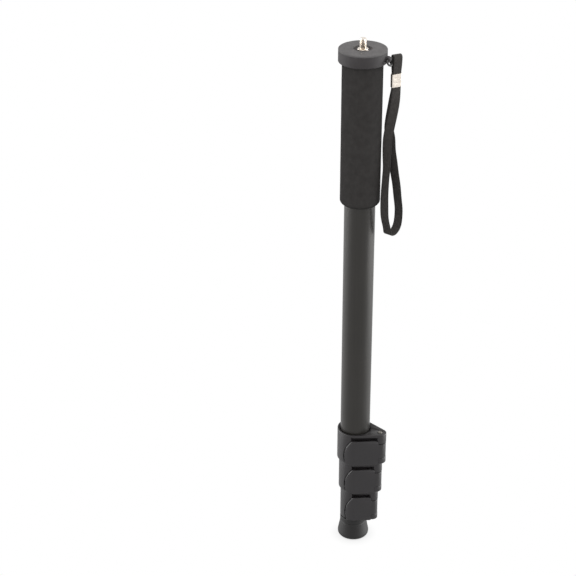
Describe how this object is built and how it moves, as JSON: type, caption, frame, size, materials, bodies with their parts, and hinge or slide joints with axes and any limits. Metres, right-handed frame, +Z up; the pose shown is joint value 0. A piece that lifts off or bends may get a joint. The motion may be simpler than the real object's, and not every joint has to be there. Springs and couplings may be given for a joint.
{
  "type": "camera monopod",
  "caption": "Telescoping camera monopod, folded: flip-lock clamps, foam grip, disc head with a camera screw, rubber foot and a wrist strap.",
  "frame": {"origin": "centre of the foot's flat sole", "axes": "+Z up the column to the camera screw, +X towards the clamps' hinge pins and the strap eye, -Y towards the front of the closed levers"},
  "size_m": [0.0585, 0.0442, 0.53],
  "materials": {
    "anodised_tube": "satin dark grey anodised",
    "grip_foam": "matte closed-cell foam",
    "head_plastic": "fine-grained moulding",
    "pad_rubber": "matte",
    "bright_metal": "nickel plated",
    "clamp_plastic": "fine-grained moulding",
    "lever_plastic": "fine-grained moulding",
    "inner_plastic": "plain",
    "foot_rubber": "matte",
    "strap_webbing": "woven"
  },
  "bodies": {
    "upper": {"main_tube": "anodised_tube", "foam_grip": "grip_foam", "head_platform": "head_plastic", "head_pad": "pad_rubber", "camera_screw": "bright_metal", "screw_nut": "bright_metal", "clamp_1_collar": "clamp_plastic", "clamp_1_pin": "bright_metal"},
    "lever_1": {"clamp_1_lever": "lever_plastic"},
    "shoe_1": {"clamp_1_shoe": "inner_plastic"},
    "section_2": {"tube_2": "anodised_tube", "bush_2": "inner_plastic", "clamp_2_collar": "clamp_plastic", "clamp_2_pin": "bright_metal"},
    "lever_2": {"clamp_2_lever": "lever_plastic"},
    "shoe_2": {"clamp_2_shoe": "inner_plastic"},
    "section_3": {"tube_3": "anodised_tube", "bush_3": "inner_plastic", "clamp_3_collar": "clamp_plastic", "clamp_3_pin": "bright_metal"},
    "lever_3": {"clamp_3_lever": "lever_plastic"},
    "shoe_3": {"clamp_3_shoe": "inner_plastic"},
    "section_4": {"tube_4": "anodised_tube", "bush_4": "inner_plastic", "foot_plug": "inner_plastic", "rubber_foot": "foot_rubber"},
    "strap": {"strap_tether": "strap_webbing", "strap_webbing": "strap_webbing", "strap_crimp": "bright_metal"}
  },
  "joints": [
    {"name": "slide_2", "type": "slide", "parent": "upper", "child": "section_2", "axis": [0, 0, -1], "range_m": [0, 0.375]},
    {"name": "slide_3", "type": "slide", "parent": "section_2", "child": "section_3", "axis": [0, 0, -1], "range_m": [0, 0.375]},
    {"name": "slide_4", "type": "slide", "parent": "section_3", "child": "section_4", "axis": [0, 0, -1], "range_m": [0, 0.371]},
    {"name": "flip_1", "type": "hinge", "parent": "upper", "child": "lever_1", "pos_m": [0.026, 0, 0.1102], "axis": [0, 0, 1], "range_deg": [0, 130]},
    {"name": "flip_2", "type": "hinge", "parent": "section_2", "child": "lever_2", "pos_m": [0.023, 0, 0.0758], "axis": [0, 0, 1], "range_deg": [0, 130]},
    {"name": "flip_3", "type": "hinge", "parent": "section_3", "child": "lever_3", "pos_m": [0.02, 0, 0.0414], "axis": [0, 0, 1], "range_deg": [0, 130]},
    {"name": "brake_1", "type": "slide", "parent": "upper", "child": "shoe_1", "axis": [1, 0, 0], "range_m": [0, 0.0006]},
    {"name": "brake_2", "type": "slide", "parent": "section_2", "child": "shoe_2", "axis": [1, 0, 0], "range_m": [0, 0.0006]},
    {"name": "brake_3", "type": "slide", "parent": "section_3", "child": "shoe_3", "axis": [1, 0, 0], "range_m": [0, 0.0006]},
    {"name": "strap_swing", "type": "hinge", "parent": "upper", "child": "strap", "pos_m": [0.0239, 0, 0.5131], "axis": [0, -1, 0], "range_deg": [0, 90]}
  ],
  "couplings": [
    {"joint": "brake_1", "follows": "flip_1", "m_per_rad": 0.000264},
    {"joint": "brake_2", "follows": "flip_2", "m_per_rad": 0.000264},
    {"joint": "brake_3", "follows": "flip_3", "m_per_rad": 0.000264}
  ]
}
